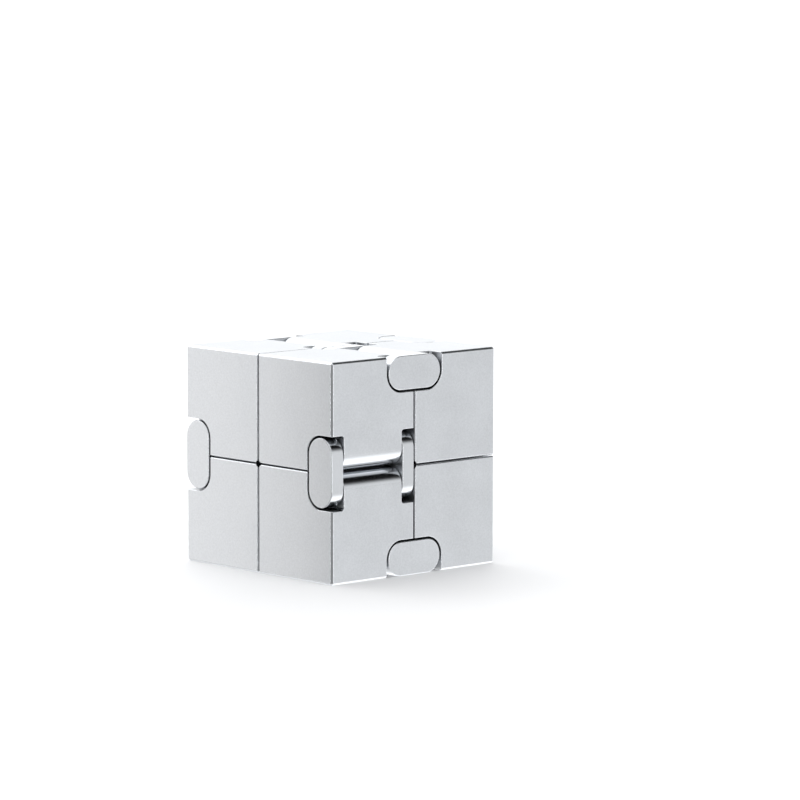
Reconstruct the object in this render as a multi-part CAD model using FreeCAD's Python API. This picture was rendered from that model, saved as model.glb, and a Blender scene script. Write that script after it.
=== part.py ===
import FreeCAD, Part
import os

# Folding cube: eight cubelets in a closed chain, each joined to the next by a two-pin link.
# Millimetres, +Z up. The closed cube is centred in X and Y and stands on z = 0.

# Driving dimensions
CUBE = 40.0                 # outer edge of the closed cube
GAP = 0.25                  # slit between neighbouring cubelets when closed
FOLD_RADIUS = 3.1           # pin axis to the faces beside it; also the rounded fold edge
OUTER_CHAMFER = 0.35        # break on the twelve edges of the closed cube
SEAM_CHAMFER = 0.16         # break along the seams between cubelets
CENTRE_CHAMFER = 0.6        # break on the edges at the middle; they pass close by the next cubelet
MOUTH_CHAMFER = 0.07        # break round the mouths of the pockets, under half the seam chamfer
PLATE_THICKNESS = 2.8       # end plate of a link
PLATE_CHAMFER = 0.1         # break on the plate rims
POCKET_END_CLEARANCE = 0.15     # between a plate's inner side and the pocket floor
POCKET_SIDE_CLEARANCE = 0.38    # between a plate's rim and the pocket wall
POCKET_FLOOR_RADIUS = 0.5   # corner between the pocket's floor and its wall
PIN_DIAMETER = 3.0          # dowel pin
PIN_SEAT = 1.9              # length of pin pressed into each plate
BORE_CLEARANCE = 0.05       # radial running clearance of a pin in its cubelet

# Derived dimensions
HALF = CUBE / 2
SLIT = GAP / 2
SIDE = HALF - SLIT                          # edge of one cubelet
PIN_OFFSET = SLIT + FOLD_RADIUS             # pin axis to the seam it works across
POCKET_DEPTH = PLATE_THICKNESS + POCKET_END_CLEARANCE
POCKET_RADIUS = FOLD_RADIUS + POCKET_SIDE_CLEARANCE
PIN_RADIUS = PIN_DIAMETER / 2
OVERCUT = 1.0                               # how far cutting tools reach past a face

CENTRE = FreeCAD.Vector(0, 0, HALF)
X, Y, Z = 0, 1, 2
UNIT = (FreeCAD.Vector(1, 0, 0), FreeCAD.Vector(0, 1, 0), FreeCAD.Vector(0, 0, 1))
SIDE_NAMES = (
    {-1: "left", 1: "right"},
    {-1: "front", 1: "back"},
    {-1: "lower", 1: "upper"},
)

# Each link: (pin axis, half of the cube its pins lie in, seam it bridges, outer face it lies under)
LINKS = {
    "top_front": (Y, -1, X, (Z, 1)),
    "top_back": (Y, 1, X, (Z, 1)),
    "bottom_front": (Y, -1, X, (Z, -1)),
    "bottom_back": (Y, 1, X, (Z, -1)),
    "front_left": (X, -1, Z, (Y, -1)),
    "back_left": (X, -1, Z, (Y, 1)),
    "right_upper": (Z, 1, Y, (X, 1)),
    "right_lower": (Z, -1, Y, (X, 1)),
}


class Link:
    """Directions and reference point of one link in the closed cube."""

    def __init__(self, name):
        pin_axis, half, seam_axis, (outer_axis, outer_sign) = LINKS[name]
        self.name = name
        self.seam_axis = seam_axis
        self.along = UNIT[pin_axis] * half          # from the middle of the cube to its side
        self.across = UNIT[seam_axis]               # over the seam
        self.outward = UNIT[outer_axis] * outer_sign
        self.middle = CENTRE + self.outward * (HALF - FOLD_RADIUS)
        self.signs = {pin_axis: half, outer_axis: outer_sign}

    def point(self, across, outward, along):
        """Point given from halfway between the two pin axes."""
        return self.middle + self.across * across + self.outward * outward + self.along * along

    def joins(self, corner):
        """True when the cubelet at this corner carries one of the link's pins."""
        return all(corner[axis] == sign for axis, sign in self.signs.items())


def closed_prism(edges, direction):
    """Solid swept from a closed chain of edges."""
    return Part.Face(Part.Wire(edges)).extrude(direction)


def chain(points):
    """Straight edges through the points."""
    return [Part.LineSegment(a, b).toShape() for a, b in zip(points, points[1:])]


def arc(start, middle, end):
    return Part.Arc(start, middle, end).toShape()


def rim_edges(solid, direction, levels):
    """Edges lying in the planes at the given levels along a direction."""
    found = []
    for edge in solid.Edges:
        heights = [vertex.Point.dot(direction) for vertex in edge.Vertexes]
        for level in levels:
            if all(abs(height - level) < 1e-6 for height in heights):
                found.append(edge)
    return found


def plate(link, start):
    """Stadium-shaped end plate with two blind pin seats; start is its inner end along the pins."""
    r = FOLD_RADIUS
    reach = PIN_OFFSET
    corners = [
        link.point(-reach, -r, start),
        link.point(reach, -r, start),
        link.point(reach, r, start),
        link.point(-reach, r, start),
    ]
    outline = [
        Part.LineSegment(corners[0], corners[1]).toShape(),
        arc(corners[1], link.point(reach + r, 0, start), corners[2]),
        Part.LineSegment(corners[2], corners[3]).toShape(),
        arc(corners[3], link.point(-reach - r, 0, start), corners[0]),
    ]
    solid = closed_prism(outline, link.along * PLATE_THICKNESS)
    base = link.point(0, 0, start).dot(link.along)
    rims = rim_edges(solid, link.along, (base, base + PLATE_THICKNESS))
    return solid.makeChamfer(PLATE_CHAMFER, rims)


def pin(link, side):
    """Dowel pin on one side of the seam, seated in both end plates."""
    start = SLIT + PLATE_THICKNESS - PIN_SEAT
    length = SIDE - 2 * (PLATE_THICKNESS - PIN_SEAT)
    return Part.makeCylinder(PIN_RADIUS, length, link.point(side * PIN_OFFSET, 0, start), link.along)


def link_solids(link):
    """Two plates and two pins of one link, by node name."""
    pins = {side: pin(link, side) for side in (-1, 1)}
    starts = {"inner": SLIT, "outer": HALF - PLATE_THICKNESS}
    solids = {}
    for place, start in starts.items():
        solids[f"link_{link.name}_plate_{place}"] = plate(link, start).cut(list(pins.values()))
    for side, solid in pins.items():
        solids[f"link_{link.name}_pin_{SIDE_NAMES[link.seam_axis][side]}"] = solid
    return solids


def fold_edge_tool(link, side):
    """Material outside the rounded fold edge, along the whole cubelet."""
    r = FOLD_RADIUS
    far = r + OVERCUT
    start = SLIT - OVERCUT
    axis = side * PIN_OFFSET
    diagonal = r * 0.5 ** 0.5
    straight = chain([
        link.point(axis, r, start),
        link.point(axis, far, start),
        link.point(axis - side * far, far, start),
        link.point(axis - side * far, 0, start),
        link.point(axis - side * r, 0, start),
    ])
    rounded = arc(
        link.point(axis - side * r, 0, start),
        link.point(axis - side * diagonal, diagonal, start),
        link.point(axis, r, start),
    )
    return closed_prism(straight + [rounded], link.along * (SIDE + 2 * OVERCUT))


def pocket_tool(link, side, floor, mouth):
    """Room for a plate to lie in the seam or to turn out of it, inner corner round the pin."""
    r = POCKET_RADIUS
    far = FOLD_RADIUS + OVERCUT
    axis = side * PIN_OFFSET
    diagonal = r * 0.5 ** 0.5
    straight = chain([
        link.point(axis, -r, floor),
        link.point(axis - side * far, -r, floor),
        link.point(axis - side * far, far, floor),
        link.point(axis + side * r, far, floor),
        link.point(axis + side * r, 0, floor),
    ])
    rounded = arc(
        link.point(axis + side * r, 0, floor),
        link.point(axis + side * diagonal, -diagonal, floor),
        link.point(axis, -r, floor),
    )
    solid = closed_prism(straight + [rounded], link.along * (mouth - floor))
    level = link.point(0, 0, floor).dot(link.along)
    return solid.makeFillet(POCKET_FLOOR_RADIUS, rim_edges(solid, link.along, (level,)))


def bore_tool(link, side):
    """Through hole for the pin to run in."""
    start = link.point(side * PIN_OFFSET, 0, SLIT - OVERCUT)
    return Part.makeCylinder(PIN_RADIUS + BORE_CLEARANCE, SIDE + 2 * OVERCUT, start, link.along)


def outer_planes(solid):
    """Pairs of direction and level for the six faces of the solid's bounding box."""
    box = solid.BoundBox
    levels = ((box.XMin, box.XMax), (box.YMin, box.YMax), (box.ZMin, box.ZMax))
    return [(UNIT[axis], level) for axis in (X, Y, Z) for level in levels[axis]]


def is_square(solid, edge):
    """True when the two faces at this edge meet at a right angle."""
    middle = edge.valueAt((edge.FirstParameter + edge.LastParameter) / 2)
    faces = solid.ancestorsOfType(edge, Part.Face)
    normals = [face.normalAt(*face.Surface.parameter(middle)) for face in faces]
    return len(normals) == 2 and abs(normals[0].dot(normals[1])) < 0.01


def is_slanted(edge):
    """True for a straight edge along none of the axes: the short end of a middle chamfer."""
    if not isinstance(edge.Curve, Part.Line):
        return False
    return max(abs(edge.Curve.Direction.dot(axis)) for axis in UNIT) < 0.99


def mouth_edges(solid):
    """Square edges left in the outer planes of a cubelet: the mouths of its pockets."""
    found = []
    for direction, level in outer_planes(solid):
        for edge in rim_edges(solid, direction, (level,)):
            if is_square(solid, edge) and not is_slanted(edge):
                found.append(edge)
    return found


def planes_shared(edge, level):
    """Number of axes along which the whole edge lies at the given distance from the cube's centre."""
    places = [vertex.Point - CENTRE for vertex in edge.Vertexes]
    return sum(all(abs(abs(place[axis]) - level) < 1e-6 for place in places) for axis in (X, Y, Z))


def blank(corner):
    """Cubelet block with its middle, outer and seam edges broken, the narrowest chamfer last."""
    near = FreeCAD.Vector(*[min(sign * SLIT, sign * HALF) for sign in corner])
    solid = Part.makeBox(SIDE, SIDE, SIDE, CENTRE + near)
    for outer_faces, size in ((0, CENTRE_CHAMFER), (2, OUTER_CHAMFER), (1, SEAM_CHAMFER)):
        edges = []
        for edge in solid.Edges:
            if planes_shared(edge, HALF) == outer_faces and planes_shared(edge, SLIT) == 2 - outer_faces:
                edges.append(edge)
        solid = solid.makeChamfer(size, edges)
    return solid


def cubelet(corner, links):
    """One cubelet with the fold edges, pockets and bores of the links it carries."""
    body = blank(corner)
    tools = []
    for link in links:
        if not link.joins(corner):
            continue
        side = corner[link.seam_axis]
        tools.append(fold_edge_tool(link, side))
        tools.append(bore_tool(link, side))
        tools.append(pocket_tool(link, side, SLIT + POCKET_DEPTH, SLIT - OVERCUT))
        tools.append(pocket_tool(link, side, HALF - POCKET_DEPTH, HALF + OVERCUT))
    for tool in tools:
        body = body.cut(tool)
    body = body.Solids[0]
    return body.makeChamfer(MOUTH_CHAMFER, mouth_edges(body))


def cubelet_name(corner):
    words = [SIDE_NAMES[axis][corner[axis]] for axis in (Z, Y, X)]
    return "cubelet_" + "_".join(words)


def save(name, shape):
    """Write one node as a single solid."""
    solid = shape.Solids[0]
    solid.exportStep(f"parts/{name}.step")


os.makedirs("parts", exist_ok=True)

links = [Link(name) for name in LINKS]
corners = [(x, y, z) for z in (-1, 1) for y in (-1, 1) for x in (-1, 1)]

for corner in corners:
    save(cubelet_name(corner), cubelet(corner, links))

for link in links:
    for name, solid in link_solids(link).items():
        save(name, solid)
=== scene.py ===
import math

import bpy
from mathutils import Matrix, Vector


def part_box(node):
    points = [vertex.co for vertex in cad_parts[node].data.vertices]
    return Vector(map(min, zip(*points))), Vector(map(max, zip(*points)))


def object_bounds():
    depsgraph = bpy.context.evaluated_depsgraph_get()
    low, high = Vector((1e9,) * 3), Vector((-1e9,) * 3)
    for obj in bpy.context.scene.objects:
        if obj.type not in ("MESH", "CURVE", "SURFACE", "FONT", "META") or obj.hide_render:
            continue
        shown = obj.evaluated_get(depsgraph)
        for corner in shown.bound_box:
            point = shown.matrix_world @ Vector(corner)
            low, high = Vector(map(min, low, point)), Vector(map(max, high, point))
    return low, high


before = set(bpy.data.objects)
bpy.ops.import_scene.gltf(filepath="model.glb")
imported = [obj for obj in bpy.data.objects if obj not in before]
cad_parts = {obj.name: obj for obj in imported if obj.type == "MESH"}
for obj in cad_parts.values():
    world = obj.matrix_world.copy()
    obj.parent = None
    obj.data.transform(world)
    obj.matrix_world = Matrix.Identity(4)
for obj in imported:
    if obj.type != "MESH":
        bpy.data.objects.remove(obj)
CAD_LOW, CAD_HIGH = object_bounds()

# Everything is in metres, in the frame of the CAD model.

MM = 0.001
CENTRE = (CAD_LOW + CAD_HIGH) / 2
CUBE = CAD_HIGH.x - CAD_LOW.x

# Camera
VIEW_AZIMUTH = -41.85
VIEW_ELEVATION = 7.6
VIEW_DISTANCE = 20.75 * CUBE
CUBE_WIDTHS_IN_VIEW = 3.675     # picture width at the cube's centre, in cube edges
SHIFT_RIGHT = 0.0744            # the object stands left of the middle and below it
SHIFT_UP = 0.0674

# Surfaces
METAL = (0.655, 0.672, 0.695, 1.0)
STEEL = (0.50, 0.51, 0.53, 1.0)
GRAIN = 0.30 * MM               # size of the blasted grain
GRAIN_DEPTH = 0.012 * MM
GRAIN_CONTRAST = 0.32           # of its colour on satin flats
CLOUD = 7.0 * MM                # size of the faint unevenness over a face
SCRATCH = 0.06 * MM             # spacing of the polishing lines on cut edges
SATIN_ROUGHNESS = (0.33, 0.41)
CUT_ROUGHNESS = (0.13, 0.20)
STEEL_ROUGHNESS = (0.20, 0.32)
SATIN_LEAN = (0.990, 0.999)     # a surface this square to its axis turns from cut to satin
CUT_BRIGHTER = 1.10             # cut metal, compared with satin
EDGE_ROUNDING = 0.18 * MM
WEAR_LEAN = (0.90, 0.995)       # cosine between true and rounded normal: worn, untouched
WEAR_BRIGHTER = 0.14
MIDDLE_OF_NOISE = (0.3, 0.7)    # the part of a noise that holds nearly all its values
POCKET_REACH = 6.0 * MM         # how far a wall reaches when painting shade into the hollow beside it
POCKET_PAINTED_SHADE = 0.24             # painted shade in the pockets: base colour darkened where shade falls
POCKET_OPENNESS = (0.52, 0.97)  # share of open sky: full painted shade, no painted shade
RING_DEPTH = 0.004 * MM         # turning rings on the pins
RING_STRETCH = 0.05             # the rings' noise round the pin, compared with along it

# Studio
SKY_COLOUR = (0.985, 0.993, 1.0, 1.0)
WORLD_LEVEL = 0.85
# Each region is (azimuth, elevation, full within, gone beyond, level), angles in degrees
STUDIO = (
    (138.0, 20.0, 32.0, 60.0, 1.43),        # bright wall behind the object
    (0.0, 90.0, 35.0, 60.0, 1.05),          # bright ceiling
    (98.0, -48.0, 32.0, 55.0, 1.60),        # bright ground at the back
    (-138.0, -6.0, 26.0, 50.0, 0.12),       # dimmer side on the left, lit by the card
    (-50.0, -4.0, 26.0, 44.0, 0.32),        # dim room behind the camera
    (-104.0, -4.0, 6.0, 12.0, 3.60),        # bright strip left of the camera
    (12.0, -4.0, 5.0, 11.0, 3.60),          # bright strip right of the camera
    (-174.0, 46.0, 10.0, 20.0, 2.40),       # bright patch high behind on the left
    (62.0, 41.0, 9.0, 34.0, 0.0),           # black flag high on the right
)
SIDE_CARD_LEVEL = 1.09          # brightness of the card beside the left face
SIDE_CARD_SIZE = 5.0            # the card's size and place, in cube edges
SIDE_CARD_AWAY = 2.5            # from the cube's centre
SIDE_CARD_START = 1.45          # its near edge, behind the cube's centre
SIDE_CARD_DROP = 0.4            # its middle, below the cube's centre
SIDE_CARD_COLOUR = (1.0, 0.99, 0.98)
OVERHEAD_LEVEL = 0.80           # even light on the floor, which the metal doesn't mirror
OVERHEAD_SPREAD = 110.0         # its angular size in degrees, for soft shadows
FLOOR_RADIUS = 12.0
FLOOR_SIDES = 96
FLOOR_COLOUR = (0.93, 0.93, 0.935, 1.0)
FLOOR_ROUGHNESS = (0.60, 0.70)
PAPER_FIBRE = 0.6 * MM
PAPER_DEPTH = 0.02 * MM
NEAREST_IN_VIEW = 0.01


def direction(azimuth, elevation):
    """Unit vector from the object: azimuth 0 points along -Y, 90 along +X."""
    a = math.radians(azimuth)
    e = math.radians(elevation)
    return Vector((math.sin(a) * math.cos(e), -math.cos(a) * math.cos(e), math.sin(e)))


class Graph:
    """Short calls for building a node tree."""

    def __init__(self, tree):
        self.tree = tree
        self.tree.nodes.clear()

    def add(self, kind, inputs=None, **settings):
        """New node; inputs are linked where a value is a socket and set where it is a plain value."""
        node = self.tree.nodes.new(kind)
        for name, value in settings.items():
            setattr(node, name, value)
        for key, value in (inputs or {}).items():
            if isinstance(value, bpy.types.NodeSocket):
                self.tree.links.new(value, node.inputs[key])
            else:
                node.inputs[key].default_value = value
        return node

    def math(self, operation, *values):
        return self.add("ShaderNodeMath", dict(enumerate(values)), operation=operation).outputs[0]

    def noise(self, position, size, detail=2.0, roughness=0.5):
        inputs = {"Vector": position, "Scale": 1 / size, "Detail": detail, "Roughness": roughness}
        return self.add("ShaderNodeTexNoise", inputs).outputs["Fac"]

    def spread(self, value, low, high, span=(0.0, 1.0), smooth=False):
        """Value mapped from the span to low..high and held there."""
        inputs = {"Value": value, "From Min": span[0], "From Max": span[1], "To Min": low, "To Max": high}
        kind = "SMOOTHSTEP" if smooth else "LINEAR"
        return self.add("ShaderNodeMapRange", inputs, interpolation_type=kind).outputs["Result"]

    def blend(self, factor, a, b):
        inputs = {"Factor": factor, "A": a, "B": b}
        return self.add("ShaderNodeMix", inputs, data_type="FLOAT").outputs["Result"]

    def tint(self, colour, value):
        """Colour multiplied by a value."""
        scaled = self.add("ShaderNodeVectorMath", {0: colour[:3], "Scale": value}, operation="SCALE")
        return scaled.outputs["Vector"]


def new_material(name):
    material = bpy.data.materials.new(name)
    material.use_nodes = True
    return material, Graph(material.node_tree)


def finish_material(graph, **inputs):
    """Principled shader from the inputs, on the material output."""
    named = {key.replace("_", " "): value for key, value in inputs.items()}
    shader = graph.add("ShaderNodeBsdfPrincipled", named)
    graph.add("ShaderNodeOutputMaterial", {"Surface": shader.outputs["BSDF"]})


def object_axes(graph, normal):
    """Absolute X, Y and Z of a world normal in the object's own axes."""
    turned = graph.add(
        "ShaderNodeVectorTransform",
        {"Vector": normal},
        vector_type="NORMAL",
        convert_from="WORLD",
        convert_to="OBJECT",
    )
    parts = graph.add("ShaderNodeSeparateXYZ", {0: turned.outputs[0]})
    return [graph.math("ABSOLUTE", socket) for socket in parts.outputs]


def edge_wear(graph, rounded):
    """1 on sharp edges and 0 on open faces, from how far the rounded normal leans away."""
    flat = graph.add("ShaderNodeNewGeometry").outputs["True Normal"]
    lean = graph.add("ShaderNodeVectorMath", {0: rounded, 1: flat}, operation="DOT_PRODUCT")
    return graph.spread(lean.outputs["Value"], 1.0, 0.0, WEAR_LEAN)


def aluminium(name, satin_axes):
    """Blasted satin aluminium on the flats square to the given axes, brighter cut metal elsewhere, painted
    shade in the pockets.
    """
    material, graph = new_material(name)
    position = graph.add("ShaderNodeTexCoord").outputs["Object"]
    rounded = graph.add("ShaderNodeBevel", {"Radius": EDGE_ROUNDING}, samples=8).outputs["Normal"]
    lean = object_axes(graph, rounded)
    facing = lean[satin_axes[0]]
    for axis in satin_axes[1:]:
        facing = graph.math("MAXIMUM", facing, lean[axis])
    satin = graph.spread(facing, 0.0, 1.0, SATIN_LEAN)

    grain = graph.noise(position, GRAIN, detail=3.0, roughness=0.65)
    cloud = graph.noise(position, CLOUD, detail=4.0, roughness=0.55)
    scratch = graph.noise(position, SCRATCH, detail=1.0)
    speckle = graph.math("SUBTRACT", grain, 0.5)
    patches = graph.spread(cloud, 0.25, 1.0, (0.35, 0.65))
    wear = graph.math("MULTIPLY", edge_wear(graph, rounded), patches)
    # painted shade: ambient occlusion darkens the base colour in pockets and hollows
    pocket_occlusion = graph.add("ShaderNodeAmbientOcclusion", {"Distance": POCKET_REACH}, samples=8, only_local=True)
    pocket_painted_shade = graph.spread(pocket_occlusion.outputs["AO"], POCKET_PAINTED_SHADE, 1.0, POCKET_OPENNESS)

    satin_rough = graph.spread(cloud, *SATIN_ROUGHNESS, MIDDLE_OF_NOISE)
    satin_rough = graph.math("MULTIPLY_ADD", speckle, 0.10, satin_rough)
    cut_rough = graph.spread(scratch, *CUT_ROUGHNESS, MIDDLE_OF_NOISE)
    rough = graph.blend(satin, cut_rough, satin_rough)
    rough = graph.blend(wear, rough, CUT_ROUGHNESS[1])

    shade = graph.spread(cloud, 0.975, 1.02, MIDDLE_OF_NOISE)
    shade = graph.math("MULTIPLY_ADD", speckle, graph.math("MULTIPLY", satin, GRAIN_CONTRAST), shade)
    shade = graph.math("MULTIPLY_ADD", wear, WEAR_BRIGHTER, shade)
    shade = graph.blend(satin, graph.math("MULTIPLY", shade, CUT_BRIGHTER), shade)
    # painted shade in the pockets darkens the base colour
    shade = graph.math("MULTIPLY", shade, pocket_painted_shade)

    bump = graph.add(
        "ShaderNodeBump",
        {
            "Strength": graph.blend(satin, 0.05, 0.32),
            "Distance": GRAIN_DEPTH,
            "Height": grain,
            "Normal": rounded,
        },
    )
    finish_material(
        graph,
        Base_Color=graph.tint(METAL, shade),
        Metallic=1.0,
        Roughness=rough,
        Normal=bump.outputs["Normal"],
    )
    return material


def ground_steel(name, along):
    """Ground dowel steel with fine rings round the pin's axis."""
    material, graph = new_material(name)
    position = graph.add("ShaderNodeTexCoord").outputs["Object"]
    stretch = [RING_STRETCH] * 3
    stretch[along] = 1.0
    squeezed = graph.add("ShaderNodeVectorMath", {0: position, 1: stretch}, operation="MULTIPLY")
    rings = graph.noise(squeezed.outputs["Vector"], SCRATCH, detail=2.0)
    bump = graph.add("ShaderNodeBump", {"Strength": 0.25, "Distance": RING_DEPTH, "Height": rings})
    finish_material(
        graph,
        Base_Color=graph.tint(STEEL, graph.spread(rings, 0.94, 1.04, MIDDLE_OF_NOISE)),
        Metallic=1.0,
        Roughness=graph.spread(rings, *STEEL_ROUGHNESS, MIDDLE_OF_NOISE),
        Normal=bump.outputs["Normal"],
    )
    return material


def long_axis(node):
    """Index of the axis along which a pin is longest."""
    low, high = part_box(node)
    return max(range(3), key=lambda axis: high[axis] - low[axis])


def short_axis(node):
    """Index of the axis along which a plate is thinnest."""
    low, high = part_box(node)
    return min(range(3), key=lambda axis: high[axis] - low[axis])


def dress(node, material):
    """Gives a CAD node one material."""
    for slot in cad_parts[node].material_slots:
        slot.material = material


def dress_all():
    """Every CAD node in its metal."""
    body = aluminium("cubelet_satin", (0, 1, 2))
    plates = [aluminium(f"plate_satin_{letter}", (axis,)) for axis, letter in enumerate("xyz")]
    pins = [ground_steel(f"pin_ground_{letter}", axis) for axis, letter in enumerate("xyz")]
    for node in sorted(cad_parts):
        if "_pin_" in node:
            dress(node, pins[long_axis(node)])
        elif "_plate_" in node:
            dress(node, plates[short_axis(node)])
        else:
            dress(node, body)


def build_floor():
    """Plain pale floor under the object."""
    bpy.ops.mesh.primitive_circle_add(vertices=FLOOR_SIDES, radius=FLOOR_RADIUS, fill_type="NGON")
    floor = bpy.context.object
    floor.name = "floor"
    floor.location = (CENTRE.x, CENTRE.y, CAD_LOW.z)
    material, graph = new_material("floor_paper")
    position = graph.add("ShaderNodeTexCoord").outputs["Object"]
    fibre = graph.noise(position, PAPER_FIBRE, detail=2.0)
    bump = graph.add("ShaderNodeBump", {"Strength": 0.05, "Distance": PAPER_DEPTH, "Height": fibre})
    finish_material(
        graph,
        Base_Color=FLOOR_COLOUR,
        Roughness=graph.spread(fibre, *FLOOR_ROUGHNESS),
        Normal=bump.outputs["Normal"],
    )
    floor.data.materials.append(material)
    floor.visible_glossy = False
    floor.visible_shadow = False


def build_world():
    """Even white studio with a few brighter and darker regions, each a soft-edged disc of sky."""
    world = bpy.data.worlds.new("studio")
    world.use_nodes = True
    bpy.context.scene.world = world
    graph = Graph(world.node_tree)
    sky = graph.add("ShaderNodeTexCoord").outputs["Generated"]
    level = WORLD_LEVEL
    for azimuth, elevation, full, gone, target in STUDIO:
        towards = direction(azimuth, elevation)
        cosine = graph.add("ShaderNodeVectorMath", {0: sky, 1: towards}, operation="DOT_PRODUCT")
        span = (math.cos(math.radians(gone)), math.cos(math.radians(full)))
        factor = graph.spread(cosine.outputs["Value"], 0.0, 1.0, span, smooth=True)
        level = graph.blend(factor, level, target)
    background = graph.add("ShaderNodeBackground", {"Color": SKY_COLOUR, "Strength": level})
    graph.add("ShaderNodeOutputWorld", {"Surface": background.outputs[0]})


def card_light(name, place, facing, size, level, colour):
    """Glowing square card of even brightness; place and size in cube edges from the cube's centre."""
    data = bpy.data.lights.new(name, "AREA")
    data.shape = "SQUARE"
    data.size = size * CUBE
    data.color = colour
    data.energy = level * math.pi * data.size ** 2
    light = bpy.data.objects.new(name, data)
    bpy.context.scene.collection.objects.link(light)
    light.location = CENTRE + Vector(place) * CUBE
    light.rotation_euler = (-Vector(facing)).to_track_quat("Z", "Y").to_euler()
    light.visible_camera = False


def overhead_light():
    """Broad light from straight above, the same all over the floor."""
    data = bpy.data.lights.new("overhead", "SUN")
    data.energy = OVERHEAD_LEVEL
    data.angle = math.radians(OVERHEAD_SPREAD)
    light = bpy.data.objects.new("overhead", data)
    bpy.context.scene.collection.objects.link(light)
    light.visible_glossy = False


def build_lights():
    """The card beside the left face and the light on the floor."""
    side = (-SIDE_CARD_AWAY, SIDE_CARD_START + SIDE_CARD_SIZE / 2, -SIDE_CARD_DROP)
    card_light("side_card", side, (1, 0, 0), SIDE_CARD_SIZE, SIDE_CARD_LEVEL, SIDE_CARD_COLOUR)
    overhead_light()


def build_camera():
    """Long lens from a little above, shifted so that the cube stands left of the middle and low."""
    data = bpy.data.cameras.new("camera")
    camera = bpy.data.objects.new("camera", data)
    bpy.context.scene.collection.objects.link(camera)
    back = direction(VIEW_AZIMUTH, VIEW_ELEVATION)
    camera.location = CENTRE + back * VIEW_DISTANCE
    camera.rotation_euler = back.to_track_quat("Z", "Y").to_euler()
    data.lens = data.sensor_width * VIEW_DISTANCE / (CUBE_WIDTHS_IN_VIEW * CUBE)
    data.shift_x = SHIFT_RIGHT
    data.shift_y = SHIFT_UP
    data.clip_start = NEAREST_IN_VIEW
    data.clip_end = 4 * FLOOR_RADIUS
    bpy.context.scene.camera = camera


bpy.context.scene.view_settings.view_transform = "Standard"
dress_all()
build_floor()
build_world()
build_lights()
build_camera()
